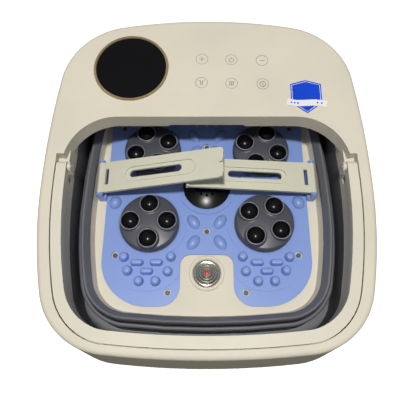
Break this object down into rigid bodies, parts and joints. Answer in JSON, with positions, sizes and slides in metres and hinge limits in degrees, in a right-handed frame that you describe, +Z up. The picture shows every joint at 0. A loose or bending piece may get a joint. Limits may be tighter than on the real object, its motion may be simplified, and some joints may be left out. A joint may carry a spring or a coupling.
{
  "type": "folding foot spa basin",
  "caption": "Folding electric foot bath, shown folded down: cream rim with control deck and carry handle, rubber bellows, blue massage plate with turning heads and two swing-up arms.",
  "frame": {"origin": "middle of the footprint at floor level, below the middle of the rim", "axes": "+Z up, +Y to the rear where the control deck is, +X to the user's right"},
  "size_m": [0.396, 0.4309, 0.2007],
  "materials": {
    "cream_shell": "smooth satin cream ABS",
    "cream_handle": "smooth satin cream ABS, slightly warmer",
    "cream_arm": "smooth satin cream ABS, slightly greyer",
    "blue_plate": "fine matt light blue ABS",
    "head_plastic": "satin charcoal ABS",
    "bead_gloss": "polished black",
    "bellows_rubber": "matt dark grey TPE",
    "black_rubber": "matt black rubber",
    "dark_plastic": "dark grey plastic",
    "steel": "bright steel",
    "clear_lens": "clear faceted polycarbonate",
    "display_glass": "polished black acrylic",
    "gold_trim": "satin champagne gold plating",
    "badge_blue": "printed glossy label"
  },
  "bodies": {
    "base": {"base_tub": "cream_shell", "base_casing": "cream_shell", "bottom_cover": "dark_plastic", "rubber_feet": "black_rubber", "bottom_screws": "steel", "massage_plate": "blue_plate", "plate_screws": "steel", "shaft_seals": "black_rubber", "herb_cup": "blue_plate", "light_lens": "clear_lens", "light_ring": "cream_shell", "light_board": "dark_plastic", "water_heater": "steel", "circulation_pump": "dark_plastic", "power_board": "dark_plastic", "mains_inlet": "black_rubber", "bellows_lower_cuff": "bellows_rubber", "bellows_lower_fold": "bellows_rubber", "lower_clamp_ring": "steel", "arm_pins": "steel", "head_gearmotor_rear_left": "dark_plastic", "head_gearmotor_rear_right": "dark_plastic", "head_gearmotor_front_left": "dark_plastic", "head_gearmotor_front_right": "dark_plastic"},
    "middle_ring": {"bellows_middle_ring": "bellows_rubber", "bellows_upper_fold": "bellows_rubber"},
    "rim": {"rim_top_cover": "cream_shell", "rim_inner_frame": "cream_shell", "deck_under_cover": "cream_shell", "bellows_upper_cuff": "bellows_rubber", "display_ring": "gold_trim", "display_window": "display_glass", "display_board": "dark_plastic", "touch_board": "dark_plastic", "badge_label": "badge_blue", "deck_screws": "steel", "handle_pins": "steel"},
    "handle": {"carry_handle": "cream_handle"},
    "left_arm": {"left_arm": "cream_arm"},
    "right_arm": {"right_arm": "cream_arm"},
    "herb_lid": {"herb_lid": "bead_gloss"},
    "head_rear_left": {"massage_head_rear_left": "head_plastic", "head_beads_rear_left": "bead_gloss", "drive_spindle_rear_left": "steel"},
    "head_rear_right": {"massage_head_rear_right": "head_plastic", "head_beads_rear_right": "bead_gloss", "drive_spindle_rear_right": "steel"},
    "head_front_left": {"massage_head_front_left": "head_plastic", "head_beads_front_left": "bead_gloss", "drive_spindle_front_left": "steel"},
    "head_front_right": {"massage_head_front_right": "head_plastic", "head_beads_front_right": "bead_gloss", "drive_spindle_front_right": "steel"}
  },
  "joints": [
    {"name": "ring_lift", "type": "slide", "parent": "base", "child": "middle_ring", "axis": [0, 0, 1], "range_m": [0, 0.0625], "deforming": ["bellows_lower_fold"]},
    {"name": "rim_lift", "type": "slide", "parent": "middle_ring", "child": "rim", "axis": [0, 0, 1], "range_m": [0, 0.0625], "deforming": ["bellows_upper_fold"]},
    {"name": "handle_swing", "type": "hinge", "parent": "rim", "child": "handle", "pos_m": [0, 0.006, 0.17905], "axis": [-1, 0, 0], "range_deg": [0, 90]},
    {"name": "left_arm_fold", "type": "hinge", "parent": "base", "child": "left_arm", "pos_m": [-0.137, 0.015, 0.127], "axis": [0, -1, 0], "range_deg": [0, 82.1]},
    {"name": "right_arm_fold", "type": "hinge", "parent": "base", "child": "right_arm", "pos_m": [0.137, 0.015, 0.127], "axis": [0, 1, 0], "range_deg": [0, 92.1]},
    {"name": "herb_lid_twist", "type": "hinge", "parent": "base", "child": "herb_lid", "pos_m": [0, 0.009, 0.1113], "axis": [0, 0, 1], "range_deg": [0, 30]},
    {"name": "head_spin_rear_left", "type": "hinge", "parent": "base", "child": "head_rear_left", "pos_m": [-0.073, 0.0612, 0.11], "axis": [0, 0, 1], "continuous": true},
    {"name": "head_spin_rear_right", "type": "hinge", "parent": "base", "child": "head_rear_right", "pos_m": [0.073, 0.0612, 0.11], "axis": [0, 0, 1], "continuous": true},
    {"name": "head_spin_front_left", "type": "hinge", "parent": "base", "child": "head_front_left", "pos_m": [-0.073, -0.0422, 0.11], "axis": [0, 0, 1], "continuous": true},
    {"name": "head_spin_front_right", "type": "hinge", "parent": "base", "child": "head_front_right", "pos_m": [0.073, -0.0422, 0.11], "axis": [0, 0, 1], "continuous": true}
  ],
  "couplings": [
    {"joint": "rim_lift", "follows": "ring_lift", "ratio": 1},
    {"joint": "right_arm_fold", "follows": "left_arm_fold", "ratio": 1.1218}
  ]
}
